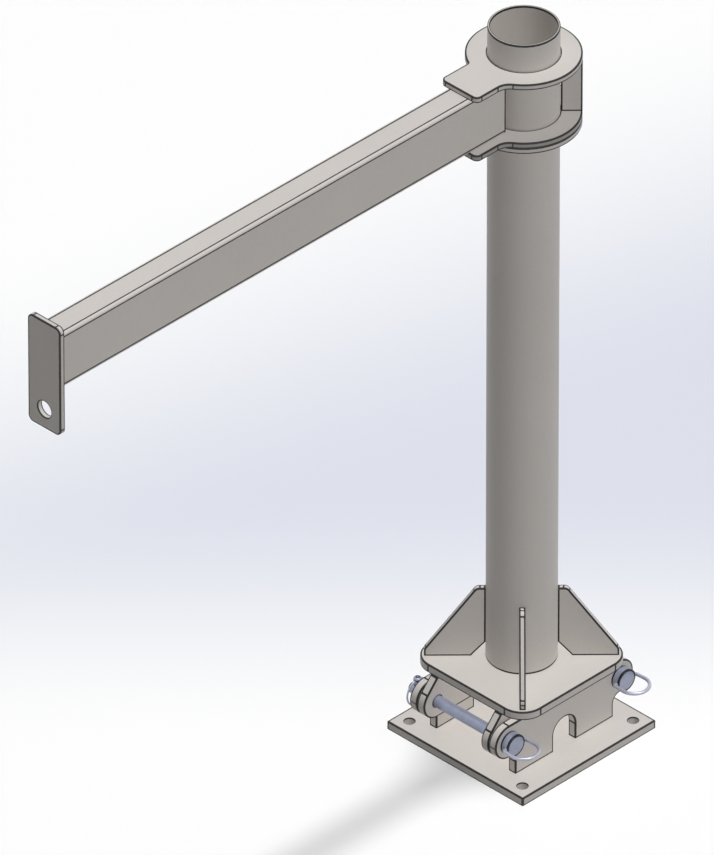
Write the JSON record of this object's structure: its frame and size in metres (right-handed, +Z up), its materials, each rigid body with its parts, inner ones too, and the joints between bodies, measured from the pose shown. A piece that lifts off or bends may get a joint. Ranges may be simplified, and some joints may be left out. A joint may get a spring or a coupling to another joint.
{
  "type": "davit crane",
  "caption": "Pillar davit crane: a box-section arm with a lifting eye slews on a tubular mast, which is pinned to a bolt-down base so that it can tilt down.",
  "frame": {"origin": "centre of the base plate's underside, midway among the anchor holes", "axes": "+X along the arm, towards the lifting eye; +Y towards the heads of the hinge pins; +Z up along the mast"},
  "size_m": [1.21, 0.3043, 1.345],
  "materials": {
    "frame_paint": "satin, warm light grey",
    "pin_steel": "zinc plated, bluish",
    "ring_wire": "zinc plated wire"
  },
  "bodies": {
    "base": {"base_plate": "frame_paint", "cheek_left": "frame_paint", "cheek_right": "frame_paint", "front_pin": "pin_steel", "rear_pin": "pin_steel", "front_linch_pin": "pin_steel", "rear_linch_pin": "pin_steel"},
    "mast": {"foot_plate": "frame_paint", "lug_left": "frame_paint", "lug_right": "frame_paint", "mast_tube": "frame_paint", "gusset_front_left": "frame_paint", "gusset_rear_left": "frame_paint", "gusset_rear_right": "frame_paint", "gusset_front_right": "frame_paint", "head_collar": "frame_paint"},
    "head": {"lower_head_plate": "frame_paint", "upper_head_plate": "frame_paint", "head_rib_left": "frame_paint", "head_rib_right": "frame_paint", "arm_tube": "frame_paint", "arm_end_plate": "frame_paint"},
    "front_pull_ring": {"front_pull_ring": "ring_wire"},
    "rear_pull_ring": {"rear_pull_ring": "ring_wire"},
    "front_linch_ring": {"front_linch_ring": "ring_wire"},
    "rear_linch_ring": {"rear_linch_ring": "ring_wire"}
  },
  "joints": [
    {"name": "mast_tilt", "type": "hinge", "parent": "base", "child": "mast", "pos_m": [-0.125, 0, 0.085], "axis": [0, -1, 0], "range_deg": [0, 90]},
    {"name": "arm_slew", "type": "hinge", "parent": "mast", "child": "head", "pos_m": [0, 0, 1.175], "axis": [0, 0, 1], "continuous": true},
    {"name": "front_pull_ring_swing", "type": "hinge", "parent": "base", "child": "front_pull_ring", "pos_m": [0.125, 0.1065, 0.085], "axis": [1, 0, 0], "range_deg": [-97, 65]},
    {"name": "rear_pull_ring_swing", "type": "hinge", "parent": "base", "child": "rear_pull_ring", "pos_m": [-0.125, 0.1065, 0.085], "axis": [1, 0, 0], "range_deg": [-97, 65]},
    {"name": "front_linch_ring_swing", "type": "hinge", "parent": "base", "child": "front_linch_ring", "pos_m": [0.125, -0.107, 0.1035], "axis": [-1, 0, 0], "range_deg": [0, 120]},
    {"name": "rear_linch_ring_swing", "type": "hinge", "parent": "base", "child": "rear_linch_ring", "pos_m": [-0.125, -0.107, 0.1035], "axis": [-1, 0, 0], "range_deg": [0, 120]}
  ]
}
